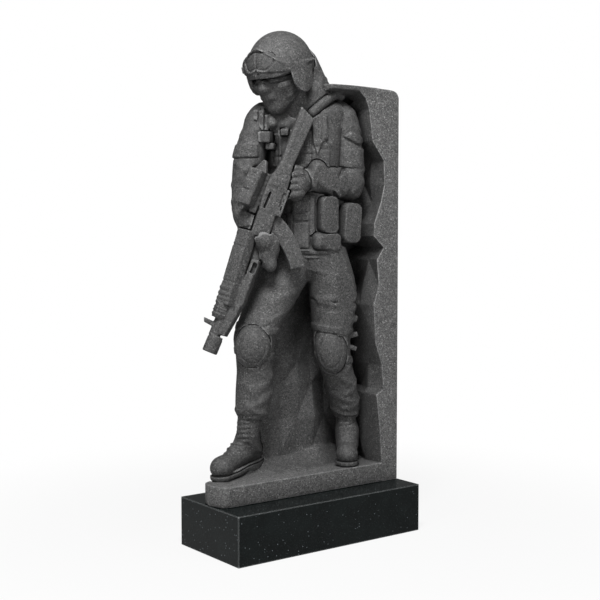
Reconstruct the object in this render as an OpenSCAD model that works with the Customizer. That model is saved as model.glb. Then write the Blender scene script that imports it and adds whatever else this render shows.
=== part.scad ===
// A granite soldier standing in a hewn niche, carved with its pillar and base
// plate from one block, on a polished black plinth. Millimetres, +Z up. The origin
// is the middle of the plinth's underside and -Y is the front.

/* [Plinth] */
// Length of the plinth
plinth_l = 700; // [690:1:760]
// Width of the plinth from front to back
plinth_w = 316; // [310:1:360]
// Height of the plinth
plinth_h = 150; // [60:1:250]
// Chamfer along every edge of the plinth
plinth_arris = 1.5; // [0.5:0.5:4]

/* [Carved block] */
// Thickness of the base plate under the boots
plate_t = 62; // [40:1:90]
// Depth of the carved block from front to back
block_w = 216; // [210:1:230]
// How far the plinth shows in front of the block
block_setback = 100; // [60:1:100]
// Right end of the block
block_right = 344; // [340:1:345]
// Height of the pillar above the plate
pillar_h = 1205; // [1195:1:1230]
// Radius of the pillar's top right corner
pillar_corner = 28; // [10:1:40]
// Thickness of the niche's back wall where it is thinnest
wall_t = 34; // [25:1:45]

/* [Soldier] */
// Turn of the soldier away from the block's front
turn = 37; // [30:1:44]
// Soldier's middle along the plinth
stand_x = 27; // [20:1:34]
// Soldier's middle from front to back
stand_y = 50; // [44:1:56]
// Turn of the head towards the soldier's right
head_turn = 42; // [20:1:50]
// How far the head is bowed
head_bow = 20; // [5:1:25]

/* [Rifle] */
// Lean of the rifle across the chest
rifle_lean = 22.4; // [20:0.1:25]
// Tilt that brings the muzzle forward
rifle_tip = 6; // [4:0.5:8]

/* [Hidden] */
plate_top = plinth_h + plate_t;
block_front = -plinth_w / 2 + block_setback;
block_back = block_front + block_w;
ball_sides = 14;
// Front edge of the niche on the pillar: [height over the plate, x]
niche_edge = [
    [0, 280], [225, 254], [240, 284], [270, 282], [320, 276], [390, 250], [515, 241],
    [575, 262], [660, 254], [698, 280], [735, 238], [775, 242], [845, 270], [900, 284],
    [975, 280], [1035, 232], [1135, 219], [1165, 206], [1192, 178]
];
// Where the niche's side meets its back, as a step to the left of that edge
niche_step = [
    -12, 6, -24, -40, -22, -54, -30, -46, -18, -52, -24, -58, -30, -40, -58, -22, -60, -35, -70
];
// Left edge of the back wall: [height over the plate, x]
wall_edge = [[-5, -95], [180, -112], [420, -84], [640, -70], [860, -58], [1060, -44], [1205, -30]];
// Columns and rows of the hewn facets on the back wall
wall_columns = [-20, 60, 150, 240, 320];
wall_rows = [-5, 130, 290, 430, 560, 700, 840, 990, 1110, 1200];
// Joints of the soldier: right is the soldier's own right, on the -X side
shoulder_r = [-122, -42, 1062];
elbow_r = [-156, -68, 826];
wrist_r = [-128, -128, 742];
hand_r = [-104, -160, 702];
shoulder_l = [130, 56, 1086];
elbow_l = [148, 50, 906];
wrist_l = [34, -54, 908];
hand_l = [-6, -84, 894];
hip_r = [-46, 8, 640];
knee_r = [-142, -86, 420];
shin_r = [-146, -84, 290];
cuff_r = [-150, -90, 205];
ankle_r = [-160, -90, 108];
heel_r = [-152, -48, 58];
toe_r = [-246, -184, 28];
hip_l = [82, 34, 636];
knee_l = [98, 30, 398];
shin_l = [132, 82, 245];
cuff_l = [148, 116, 176];
ankle_l = [154, 124, 96];
heel_l = [154, 140, 40];
toe_l = [153, 34, 28];
neck = [-8, -18, 1140];
head = [-68, -60, 1244];
butt = [28, -92, 1114];

// Whole number hash between -1 and 1, for the hewn surfaces
function chip(i, j) = 2 * (let (v = sin(i * 131.7 + j * 311.1) * 437.58) v - floor(v)) - 1;

module ball(at, r) { translate(at) sphere(r, $fn = ball_sides); }

module limb(from, to, r_from, r_to) {
    hull() {
        ball(from, r_from);
        ball(to, r_to);
    }
}

// A ball stretched to three radii, turned about its middle
module egg(at, radii, angle = [0, 0, 0]) {
    translate(at) rotate(angle) scale(radii) sphere(1, $fn = ball_sides + 2);
}

module block(at, size, angle = [0, 0, 0]) {
    translate(at) rotate(angle) cube(size, center = true);
}

// A block whose edges are broken by c
module eased_block(at, size, c, angle = [0, 0, 0]) {
    translate(at) rotate(angle) hull() {
        cube([size[0] - 2 * c, size[1] - 2 * c, size[2]], center = true);
        cube([size[0] - 2 * c, size[1], size[2] - 2 * c], center = true);
        cube([size[0], size[1] - 2 * c, size[2] - 2 * c], center = true);
    }
}

module plinth_section(length, height) {
    c = plinth_arris;
    x = length / 2;
    y = height / 2;
    polygon([[-x + c, -y], [x - c, -y], [x, -y + c], [x, y - c],
             [x - c, y], [-x + c, y], [-x, y - c], [-x, -y + c]]);
}

module plinth() {
    color("#161a1a") translate([0, 0, plinth_h / 2]) intersection() {
        linear_extrude(plinth_h, center = true) plinth_section(plinth_l, plinth_w);
        rotate([90, 0, 0]) linear_extrude(plinth_w, center = true)
            plinth_section(plinth_l, plinth_h);
        rotate([90, 0, 90]) linear_extrude(plinth_l, center = true)
            plinth_section(plinth_w, plinth_h);
    }
}

// The plate: square at its right, a round tongue under the leading boot
module plate() {
    tongue = [[-313, -33, 25], [-318, 28, 22], [-286, 1, 60]];
    translate([0, 0, plinth_h]) linear_extrude(plate_t) hull() {
        for (c = tongue) translate([c[0], c[1]]) circle(c[2], $fn = 48);
        translate([-100, block_back - 1]) square([block_right + 100, 1]);
        translate([-100, block_front]) square([block_right + 100, 1]);
    }
}

// A solid through rings of equal length, each ring flat, listed from the bottom up
// and running anticlockwise seen from above
module loft(rings) {
    count = len(rings[0]);
    last = len(rings) - 1;
    polyhedron(
        points = [for (ring = rings) each ring],
        faces = concat(
            [[for (k = [0 : count - 1]) k]],
            [for (r = [0 : last - 1]) for (k = [0 : count - 1])
                let (a = r * count + k, b = r * count + (k + 1) % count)
                each [[a, b + count, b], [a, a + count, b + count]]],
            [[for (k = [count - 1 : -1 : 0]) last * count + k]]
        ),
        convexity = 6
    );
}

// What the mason took away on the left of the pillar
module niche_cut() {
    far = -500;
    top = len(niche_edge) - 1;
    loft([for (i = [0 : top])
        let (
            x = niche_edge[i][1],
            z = niche_edge[i][0] + (i == 0 ? -5 : 0),
            lean = -niche_step[i] / block_w
        )
        [[far, block_front - 10, z], [x + lean * 10, block_front - 10, z],
         [x - lean * (block_w + 10), block_back + 10, z], [far, block_back + 10, z]]
    ]);
}

// Front outline of the pillar and its cap, with a gently arched top
module pillar_face() {
    hull() {
        translate([-200, -3]) square([block_right + 200, 1]);
        translate([block_right - pillar_corner, pillar_h - 24 - pillar_corner])
            circle(pillar_corner, $fn = 48);
        for (p = [[block_right - 70, -3], [180, 2], [40, -3], [-190, -40]])
            translate([p[0], pillar_h + p[1]]) circle(3, $fn = 16);
    }
}

// The sawn pillar with the hewn side of the niche
module pillar() {
    difference() {
        translate([0, block_back, 0]) rotate([90, 0, 0]) linear_extrude(block_w) pillar_face();
        niche_cut();
        translate([-400, block_front - 10, niche_edge[len(niche_edge) - 1][0] - 0.5])
            cube([430, block_w + 20, 100]);
        // Underside of the cap over the niche, sloped down towards the back wall
        hull() {
            translate([-400, block_front - 11, pillar_h - 70]) cube([620, 1, 58]);
            translate([-400, block_back - wall_t - 6, pillar_h - 120]) cube([590, 1, 40]);
        }
    }
}

function wall_ring(j) = [
    for (i = [0 : len(wall_columns)])
        let (
            z = wall_rows[j],
            left = lookup(z, wall_edge),
            x = i == 0 ? left : wall_columns[i - 1],
            hollow = z < 500 ? 8 * abs(i - 2) : 4 * i
        )
        [x, block_back - wall_t - 9 - 11 * chip(i, j) - hollow, z]
];

// The niche's back wall, in broad hewn facets
module back_wall() {
    loft([for (j = [0 : len(wall_rows) - 1])
        let (ring = wall_ring(j), z = wall_rows[j])
        concat([[320, block_back, z], [ring[0][0], block_back, z]], ring)
    ]);
}

// Rough ground that rises from the plate to the wall
module rubble() {
    hull() {
        translate([-80, block_back - 14, -1]) cube([380, 12, 46]);
        translate([-40, -10, -1]) cube([330, 10, 2]);
    }
    // Mound behind the trailing boot
    hull() {
        translate([120, 30, -1]) cube([110, 10, 34]);
        translate([90, block_back - 20, -1]) cube([200, 10, 130]);
    }
}

module torso() {
    hull() {
        ball(shoulder_r + [26, 6, -8], 58);
        ball(shoulder_l + [-26, -4, -8], 58);
        egg([2, 2, 960], [118, 84, 90]);
    }
    hull() {
        egg([2, 2, 960], [118, 84, 90]);
        egg([10, 14, 720], [112, 80, 60]);
    }
    hull() {
        egg([12, 16, 690], [106, 78, 40]);
        ball(hip_r + [4, 4, 6], 76);
        ball(hip_l + [-2, 0, 6], 76);
    }
    // Hem of the vest
    egg([14, 14, 684], [122, 88, 14]);
}

// Vest panels, pouches, shoulder radio and straps on the chest
module gear() {
    eased_block([-96, -92, 1040], [42, 34, 84], 5, [6, 0, -16]);
    eased_block([-76, -104, 1004], [34, 26, 54], 4, [6, 0, -10]);
    eased_block([-103, -92, 1092], [12, 12, 46], 2, [4, 0, 0]);
    eased_block([60, -62, 1030], [44, 22, 96], 6, [4, 0, 16]);
    eased_block([62, -66, 996], [36, 24, 40], 6, [4, 0, 16]);
    eased_block([-18, -84, 1000], [60, 22, 80], 5, [0, 0, -8]);
    for (x = [-8, 12, 32]) eased_block([x + 4, -78, 752], [17, 16, 118], 4, [0, 0, 4]);
    eased_block([88, -66, 798], [64, 46, 108], 13, [2, 0, 18]);
    eased_block([146, 22, 778], [54, 56, 116], 15, [0, 4, 42]);
    eased_block([76, -66, 712], [92, 40, 52], 10, [0, 6, 18]);
    for (side = [[shoulder_r, 18], [shoulder_l, -18]])
        limb(side[0] + [side[1] * 2.4, -40, 66], side[0] + [side[1] * 3, -50, -40], 15, 13);
}

module arm(shoulder, elbow, wrist, r_top, r_elbow, r_wrist) {
    middle = (shoulder + elbow) / 2;
    limb(shoulder, middle, r_top, r_elbow + 3);
    limb(middle, elbow, r_elbow + 3, r_elbow);
    limb(elbow, wrist, r_elbow, r_wrist);
}

module glove(hand, toward, r) {
    ball(hand, r);
    for (k = [-1.5 : 1 : 1.5])
        hull() for (reach = [1, 1.8])
            translate(hand + toward * reach + [5 - 6 * reach, 20 * reach - 20, k * r / 2.2])
                sphere(r / 3.4, $fn = 10);
}

module leg(hip, knee, shin, cuff, r_hip, r_knee, r_shin, r_cuff) {
    limb(hip, knee, r_hip, r_knee);
    limb(knee, shin, r_knee - 2, r_shin);
    limb(shin, cuff, r_shin, r_cuff);
}

module knee_pad(knee, forward, r) {
    hull() {
        egg(knee + forward + [0, 0, 34], [r, 22, r * 0.7]);
        egg(knee + forward + [0, 4, -30], [r * 0.9, 22, r * 0.8]);
    }
    hull() {
        egg(knee + forward * 0.8 + [0, 4, 78], [r * 0.9, 26, 16]);
        egg(knee + forward * 0.8 + [0, 4, 40], [r * 1.04, 26, 16]);
    }
}

module boot(cuff, ankle, heel, toe, r_shaft, r_toe) {
    run = toe - heel;
    bearing = atan2(run[1], run[0]);
    limb(cuff - [0, 0, 4], ankle, r_shaft + 2, r_shaft);
    hull() {
        ball(ankle - [0, 0, 10], r_shaft);
        ball(heel, r_shaft - 4);
        ball(heel + run * 0.55 + [0, 0, 18], r_toe);
    }
    limb(heel + run * 0.45 + [0, 0, 16], toe + [0, 0, 8], r_toe + 2, r_toe);
    // Sole with its welt
    hull() {
        for (p = [[heel, r_shaft - 2], [heel + run * 0.7, r_toe + 7], [toe, r_toe + 5]])
            translate([p[0][0], p[0][1], p[0][2] - 28]) rotate([0, 0, bearing])
                cylinder(h = 15, r = p[1], $fn = 20);
    }
}

module helmet() {
    difference() {
        egg([0, 0, 18], [98, 116, 104]);
        block([0, 0, -116], [300, 300, 240]);
    }
    // Brim band, ear covers and the hood behind
    difference() {
        egg([0, 2, 0], [102, 118, 48]);
        block([0, 0, -58], [300, 300, 90]);
        block([0, 0, 60], [300, 300, 90]);
    }
    for (side = [-1, 1])
        hull() {
            egg([side * 84, 8, -12], [15, 36, 18]);
            egg([side * 80, 6, -64], [13, 28, 22]);
        }
    // Goggles pushed up on the brow
    hull() {
        for (x = [-62, -26, 26, 62])
            eased_block([x, -112 + x * x * 0.009, 8], [30, 30, 62], 10, [-8, 0, x * 0.6]);
    }
}

// Skull, jaw and the cloth over the face, on plain proportions
module face() {
    egg([0, -6, -22], [72, 88, 84]);
    hull() {
        egg([0, -34, -60], [56, 56, 50]);
        egg([0, -50, -104], [34, 36, 22]);
    }
    limb([0, -88, -40], [0, -100, -66], 8, 12);
}

module head() {
    translate(head) rotate([0, 0, -head_turn]) rotate([head_bow, 0, 0]) {
        helmet();
        face();
    }
    limb(neck, head + [16, 18, -40], 62, 60);
    // Hood and collar
    hull() {
        egg(head + [62, 62, -6], [50, 56, 70]);
        egg(neck + [44, 40, 4], [66, 60, 44]);
    }
    limb(neck + [46, -8, -18], shoulder_l + [-22, 4, 62], 28, 26);
    hull() {
        egg(neck + [8, -14, -22], [92, 70, 26]);
        egg(neck + [10, 0, -60], [116, 78, 24]);
    }
}

// The rifle hangs along -Z with its magazine towards +X and its near side at -Y
module rifle() {
    hull() {
        eased_block([2, 0, -4], [52, 30, 8], 3);
        eased_block([-6, 0, -192], [33, 28, 8], 3);
    }
    eased_block([-6, 0, -284], [60, 40, 190], 4);
    eased_block([24, -2, -292], [14, 26, 66], 3);
    eased_block([26, 4, -240], [30, 28, 84], 8, [0, -24, 0]);
    // Sight box on its rail
    eased_block([-73, -14, -272], [46, 44, 138], 4);
    eased_block([-73, -14, -196], [20, 26, 22], 4, [0, 45, 0]);
    eased_block([-44, 0, -280], [24, 24, 150], 3);
    // Handguard, its ribs, collar, barrel, second tube and muzzle
    eased_block([-30, 0, -520], [54, 48, 250], 6);
    for (z = [-415, -423, -580, -596, -612, -628]) block([-36, 0, z], [58, 52, 6]);
    eased_block([-20, 0, -664], [46, 40, 44], 4);
    for (z = [-656, -668]) block([-22, 0, z], [50, 44, 5]);
    block([-36, 0, -706], [54, 14, 12]);
    eased_block([-4, 0, -710], [38, 38, 100], 6);
    eased_block([22, 4, -560], [30, 34, 200], 6);
    translate([-1, 0, -790]) cylinder(h = 70, r = 23, $fn = 20);
    // Curved magazine
    for (k = [0 : 3])
        hull() {
            for (t = [k / 4, (k + 1) / 4])
                translate([14 + 132 * t, 26 * t - 2, -352 - 36 * t - 66 * t * t])
                    rotate([0, -22 * t, 0]) cube([8, 24, 58 - 16 * t], center = true);
        }
}

module soldier() {
    torso();
    gear();
    head();
    arm(shoulder_r, elbow_r, wrist_r, 62, 50, 36);
    glove(hand_r, [22, -10, -8], 38);
    arm(shoulder_l, elbow_l, wrist_l, 64, 53, 42);
    glove(hand_l, [-16, -22, -4], 40);
    leg(hip_r, knee_r, shin_r, cuff_r, 80, 62, 59, 55);
    leg(hip_l, knee_l, shin_l, cuff_l, 78, 58, 51, 42);
    knee_pad(knee_r, [-4, -46, 0], 52);
    knee_pad(knee_l, [-2, -44, -8], 50);
    boot(cuff_r, ankle_r, heel_r, toe_r, 38, 32);
    boot(cuff_l, ankle_l, heel_l, toe_l, 34, 31);
    // Stone left under the raised heel
    hull() {
        for (at = [heel_r, toe_r]) translate([at[0], at[1], -1])
            cylinder(h = max(1, at[2] - 26), r = 24, $fn = 16);
    }
    translate(butt) rotate([-rifle_tip, rifle_lean, 0]) rifle();
}

module carved_stone() {
    color("#6a6a68") intersection() {
        union() {
            plate();
            translate([0, 0, plate_top]) {
                pillar();
                back_wall();
                rubble();
                translate([stand_x, stand_y, 0]) rotate([0, 0, -turn]) soldier();
            }
        }
        // Sawn faces of the raw block
        translate([-plinth_l / 2, block_front, plinth_h])
            cube([plinth_l / 2 + block_right, block_w, pillar_h * 1.4]);
    }
}

plinth();
carved_stone();
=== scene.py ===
# %% [markdown]
# # A granite soldier in a hewn niche
#
# The real object is a memorial cut from one block of grey granite: a base plate, a sawn
# pillar with a niche hacked into it, and a soldier with helmet, rifle and gear standing
# in the niche. The block rests on a polished black plinth.
#
# Blender could build such a figure from dozens of subdivision meshes, but a carving has
# one continuous skin, where a sleeve runs into a rifle and a boot into the floor. So it
# is modelled here as a sculptor works: in clay, by adding, cutting and pressing, and the
# clay becomes one mesh at the end. The polished plinth is simple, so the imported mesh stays.

import math

import bpy
import numpy as np
import openvdb
from mathutils import Matrix, Vector


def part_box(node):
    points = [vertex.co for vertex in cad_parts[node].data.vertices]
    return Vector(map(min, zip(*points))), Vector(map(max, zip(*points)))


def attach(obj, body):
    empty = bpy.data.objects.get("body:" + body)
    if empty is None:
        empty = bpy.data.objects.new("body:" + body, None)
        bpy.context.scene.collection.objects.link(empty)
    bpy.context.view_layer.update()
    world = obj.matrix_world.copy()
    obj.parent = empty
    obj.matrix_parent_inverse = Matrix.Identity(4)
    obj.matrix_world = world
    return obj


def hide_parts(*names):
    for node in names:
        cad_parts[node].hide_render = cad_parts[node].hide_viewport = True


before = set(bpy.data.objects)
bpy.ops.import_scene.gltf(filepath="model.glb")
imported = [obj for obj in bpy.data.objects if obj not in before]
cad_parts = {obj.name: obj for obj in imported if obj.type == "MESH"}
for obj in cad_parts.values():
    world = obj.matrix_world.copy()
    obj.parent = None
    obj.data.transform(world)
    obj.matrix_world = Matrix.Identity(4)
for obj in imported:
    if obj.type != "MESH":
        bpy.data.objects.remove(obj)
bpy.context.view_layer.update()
MM = 0.001
block_low, block_high = (np.array(corner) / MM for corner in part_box("carved_stone"))
print("block from", block_low.round(1), "to", block_high.round(1), "mm")

# %% [markdown]
# ## Driving sizes
#
# Everything below is in millimetres. The sawn faces of the block come from the frame, and
# so does the plinth's top. The soldier stands turned away from the block's front, so the
# figure has axes of its own: x to its left, y into the niche and z up from the plate.

# %% Sizes and places
PLATE = 62
PLATE_TOP = block_low[2] + PLATE
PILLAR_TOP = PLATE_TOP + 1205
BLOCK_FRONT, BLOCK_BACK, BLOCK_RIGHT = block_low[1], block_high[1], block_high[0]
PILLAR_CORNER = 28
WALL = 34
TURN = 37
STAND = (27, 50, PLATE_TOP)
GRID = 2.5
AIR = 20.0
print("plate top at", round(PLATE_TOP, 1), "mm, clay grid", GRID, "mm")

# %% [markdown]
# ## Clay on a grid
#
# A block of clay is a grid of numbers: at each point, how many millimetres it lies outside
# the surface, negative inside. Joining two shapes is then the smaller of two numbers, and
# a soft join is a rounded minimum. A raised seam or a pressed fold shifts the numbers a
# little, which moves the surface along its own normal. A narrow moat cut round a lump before
# it is joined gives the dark outline that a chisel leaves. Blender's sculpt tools do the same
# by hand; numbers make it repeatable.

# %% Places and clay
def turned(degrees):
    """Rotation for turns about X, then Y, then Z."""
    about_x, about_y, about_z = (math.radians(angle) for angle in degrees)
    spin = Matrix.Rotation(about_z, 3, "Z") @ Matrix.Rotation(about_y, 3, "Y")
    return np.array(spin @ Matrix.Rotation(about_x, 3, "X"))


class Place:
    """Where a sub-part sits, with axes of its own."""

    def __init__(self, at=(0, 0, 0), turn=(0, 0, 0), inside=None):
        self.at = np.array(at, float)
        self.axes = turned(turn)
        if inside:
            self.at = inside.at + inside.axes @ self.at
            self.axes = inside.axes @ self.axes

    def corners(self, low, high):
        picks = [(x, y, z) for x in (low[0], high[0]) for y in (low[1], high[1]) for z in (low[2], high[2])]
        return self.at + np.array(picks) @ self.axes.T

    def local(self, grid):
        """The grid's points in this place's own axes, as three arrays."""
        steps = [g.reshape(s) - o for g, s, o in zip(grid, ((-1, 1, 1), (1, -1, 1), (1, 1, -1)), self.at)]
        axes = self.axes.astype(np.float32)
        return [sum(axes[i, k] * steps[i].astype(np.float32) for i in range(3)) for k in range(3)]


class Clay:
    """A lump on the shared grid. A grid point's number is its distance outside the surface."""

    def __init__(self, low, high):
        self.first = np.floor(np.array(low) / GRID).astype(int)
        self.count = np.ceil(np.array(high) / GRID).astype(int) - self.first + 1
        self.field = np.full(self.count, AIR, np.float32)

    def window(self, corners, margin):
        low = np.floor((corners.min(0) - margin) / GRID).astype(int) - self.first
        high = np.ceil((corners.max(0) + margin) / GRID).astype(int) - self.first + 1
        low = np.clip(low, 0, self.count)
        high = np.clip(high, low, self.count)
        part = tuple(slice(a, b) for a, b in zip(low, high))
        grid = [GRID * np.arange(a, b) for a, b in zip(low + self.first, high + self.first)]
        return part, grid

    def join(self, lump, blend=0, moat=0, depth=0):
        """Joins another lump on with a soft fillet, or inside a narrow channel cut round it first."""
        start = lump.first - self.first
        low = np.clip(start, 0, self.count)
        high = np.clip(start + lump.count, 0, self.count)
        part = tuple(slice(a, b) for a, b in zip(low, high))
        theirs = tuple(slice(a, b) for a, b in zip(low - start, high - start))
        if moat:
            channel = np.minimum(moat - lump.field[theirs], self.field[part] + depth)
            self.field[part] = np.maximum(self.field[part], channel)
        self.field[part] = soft_min(self.field[part], lump.field[theirs], blend)


def soft_min(a, b, blend):
    if blend <= 0:
        return np.minimum(a, b)
    near = np.maximum(blend - np.abs(a - b), 0) / blend
    return np.minimum(a, b) - near * near * blend / 4


def smooth(t):
    t = np.clip(t, 0, 1)
    return t * t * (3 - 2 * t)


# %% [markdown]
# A hand works one lump from one place. It adds and cuts shapes, presses an area up or down,
# and draws creases. A fold or a seam is a crease: a ridge or groove that fades to both sides.

# %% The sculptor's hand
class Hand:
    def __init__(self, clay, place):
        self.clay = clay
        self.place = place

    def reach(self, shape, margin):
        place = Place(shape.at, shape.turn, self.place)
        part, grid = self.clay.window(place.corners(shape.low, shape.high), margin)
        return part, shape.distance(*place.local(grid))

    def add(self, shape, blend=0):
        part, gap = self.reach(shape, AIR)
        self.clay.field[part] = soft_min(self.clay.field[part], gap, blend)

    def cut(self, shape, blend=0):
        part, gap = self.reach(shape, AIR)
        self.clay.field[part] = -soft_min(-self.clay.field[part], gap, blend)

    def press(self, shape, height, edge=4):
        """Raises the surface inside a shape by a height, or sinks it by a negative one."""
        part, gap = self.reach(shape, edge)
        self.clay.field[part] -= height * smooth(0.5 - gap / edge)

    def crease(self, shape, height, width):
        """A soft ridge along a line, or a groove where the height is negative."""
        part, gap = self.reach(shape, 2.2 * width)
        self.clay.field[part] -= height * np.exp(-(gap / width) ** 2)

    def at(self, at, turn=(0, 0, 0)):
        return Hand(self.clay, Place(at, turn, self.place))


def lump(place, low, high):
    """A hand over a new empty lump that covers a box in the place's axes."""
    corners = place.corners(low, high)
    return Hand(Clay(corners.min(0), corners.max(0)), place)


# %% [markdown]
# ## Shapes
#
# Each shape is a function that gives a distance. Round forms are balls, eggs and limbs that
# taper between two points. Made things, such as a rifle's parts, are eased blocks, drums and
# slabs cut from an outline. A column follows the body: rings of given width and depth, one
# above another, whose sizes run smoothly into each other.

# %% Round shapes
class Shape:
    def __init__(self, low, high, distance, at=(0, 0, 0), turn=(0, 0, 0)):
        self.low = np.array(low, float)
        self.high = np.array(high, float)
        self.distance = distance
        self.at = at
        self.turn = turn


def egg(at, radii, turn=(0, 0, 0)):
    a, b, c = radii
    tiny = 1e-8

    def distance(x, y, z):
        near = np.sqrt((x / a) ** 2 + (y / b) ** 2 + (z / c) ** 2 + tiny)
        steep = np.sqrt((x / a ** 2) ** 2 + (y / b ** 2) ** 2 + (z / c ** 2) ** 2 + tiny / min(radii) ** 2)
        return near * (near - 1) / steep

    return Shape([-a, -b, -c], radii, distance, at, turn)


def ball(at, r):
    return egg(at, (r, r, r))


def limb(start, end, r_start, r_end):
    a = np.array(start, np.float32)
    run = np.array(end, np.float32) - a
    size = float(run @ run)

    def distance(x, y, z):
        x, y, z = x - a[0], y - a[1], z - a[2]
        t = np.clip((x * run[0] + y * run[1] + z * run[2]) / size, 0, 1)
        gap = (x - t * run[0]) ** 2 + (y - t * run[1]) ** 2 + (z - t * run[2]) ** 2
        return np.sqrt(gap) - (r_start + (r_end - r_start) * t)

    pad = max(r_start, r_end)
    return Shape(np.minimum(a, a + run) - pad, np.maximum(a, a + run) + pad, distance)


def chain(points, radii):
    """Limbs end to end. With radii of 0 it is a line to draw along."""
    if not isinstance(radii, (list, tuple)):
        radii = [radii] * len(points)
    links = [limb(a, b, p, q) for a, b, p, q in zip(points, points[1:], radii, radii[1:])]

    def distance(x, y, z):
        gap = links[0].distance(x, y, z)
        for link in links[1:]:
            gap = np.minimum(gap, link.distance(x, y, z))
        return gap

    return Shape(np.min([k.low for k in links], 0), np.max([k.high for k in links], 0), distance)


# %% Made shapes
def rounded(side, face, easing):
    """Two flat distances met at an eased edge."""
    corner = np.sqrt(np.maximum(side, 0) ** 2 + np.maximum(face, 0) ** 2)
    return corner + np.minimum(np.maximum(side, face), 0) - easing


def block(at, size, turn=(0, 0, 0), easing=3.0):
    half = np.array(size, float) / 2

    def distance(x, y, z):
        over = [np.abs(v) - h + easing for v, h in zip((x, y, z), half)]
        outside = np.sqrt(sum(np.maximum(v, 0) ** 2 for v in over))
        return outside + np.minimum(np.maximum(np.maximum(over[0], over[1]), over[2]), 0) - easing

    return Shape(-half, half, distance, at, turn)


def drum(at, radius, height, turn=(0, 0, 0), easing=2.0):
    def distance(x, y, z):
        return rounded(np.sqrt(x * x + y * y) - radius + easing, np.abs(z) - height / 2 + easing, easing)

    return Shape([-radius, -radius, -height / 2], [radius, radius, height / 2], distance, at, turn)


def outline_gap(points, u, v):
    """Distance to a closed outline, negative inside."""
    best = np.full(np.broadcast(u, v).shape, np.inf, np.float32)
    inside = np.zeros(best.shape, bool)
    for (u0, v0), (u1, v1) in zip(points, points[1:] + points[:1]):
        du, dv = u1 - u0, v1 - v0
        pu, pv = u - u0, v - v0
        t = np.clip((pu * du + pv * dv) / (du * du + dv * dv), 0, 1)
        best = np.minimum(best, (pu - t * du) ** 2 + (pv - t * dv) ** 2)
        if dv:
            inside ^= ((v0 > v) != (v1 > v)) & (pu < du * pv / dv)
    return np.where(inside, -1, 1) * np.sqrt(best)


def slab(points, thickness, at=(0, 0, 0), turn=(0, 0, 0), easing=2.0):
    """An outline in x and z, cut from a board whose thickness runs along y."""
    def distance(x, y, z):
        return rounded(outline_gap(points, x, z) + easing, np.abs(y) - thickness / 2 + easing, easing)

    xs, zs = zip(*points)
    half = thickness / 2
    return Shape([min(xs), -half, min(zs)], [max(xs), half, max(zs)], distance, at, turn)


def patch(points, near, far):
    """An outline seen from the front, for pressing whatever surface lies between two depths."""
    return slab(points, far - near, (0, (near + far) / 2, 0), easing=0.0)


def band(x0, z0, x1, z1, near=-250, far=0):
    return patch([(x0, z0), (x1, z0), (x1, z1), (x0, z1)], near, far)


def stroke(points, near=-250, far=0):
    """A line seen from the front, for creasing whatever surface lies between two depths."""
    def distance(x, y, z):
        gap = None
        for (x0, z0), (x1, z1) in zip(points, points[1:]):
            dx, dz = x1 - x0, z1 - z0
            t = np.clip(((x - x0) * dx + (z - z0) * dz) / (dx * dx + dz * dz), 0, 1)
            one = np.sqrt((x - x0 - t * dx) ** 2 + (z - z0 - t * dz) ** 2)
            gap = one if gap is None else np.minimum(gap, one)
        return gap

    xs, zs = zip(*points)
    return Shape([min(xs), near, min(zs)], [max(xs), far, max(zs)], distance)


# %% Columns, for body and limbs
class Column(Shape):
    """Rings (height, middle x, middle y, half width, half depth), from the bottom up."""

    def __init__(self, rings, power=2.2, ease=14):
        heights, *rows = zip(*rings)
        self.levels = np.arange(heights[0], heights[-1] + 1, 2.0)
        kernel = np.hanning(2 * ease // 2 + 3)
        self.rows = []
        for row in rows:
            line = np.interp(self.levels, heights, row)
            padded = np.pad(line, len(kernel) // 2, mode="reflect", reflect_type="odd")
            self.rows.append(np.convolve(padded, kernel / kernel.sum(), "valid")[:len(line)])
        self.power = power
        x, y, a, b = self.rows
        low = [min(x - a), min(y - b), heights[0]]
        high = [max(x + a), max(y + b), heights[-1]]
        super().__init__(low, high, self.gap)

    def ring(self, z):
        return [np.interp(z, self.levels, row).astype(np.float32) for row in self.rows]

    def gap(self, x, y, z):
        mx, my, a, b = self.ring(z)
        across, deep = np.abs((x - mx) / a), np.abs((y - my) / b)
        gauge = (across ** self.power + deep ** self.power) ** (1 / self.power)
        ends = np.maximum(self.levels[0] - z, z - self.levels[-1])
        return np.maximum((gauge - 1) * np.minimum(a, b), ends)

    def fold(self, z, facing, spread, tilt=0.0, bow=0.0):
        """A line over the surface: its height, the way it faces, and its half spread in degrees."""
        points = []
        for k in np.linspace(-1, 1, 7):
            level = z + tilt * k + bow * (1 - k * k)
            mx, my, a, b = self.ring(level)
            angle = math.radians(facing + spread * k)
            points.append((mx + a * math.cos(angle), my + b * math.sin(angle), level))
        return chain(points, 0)


print("shapes ready")
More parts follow.
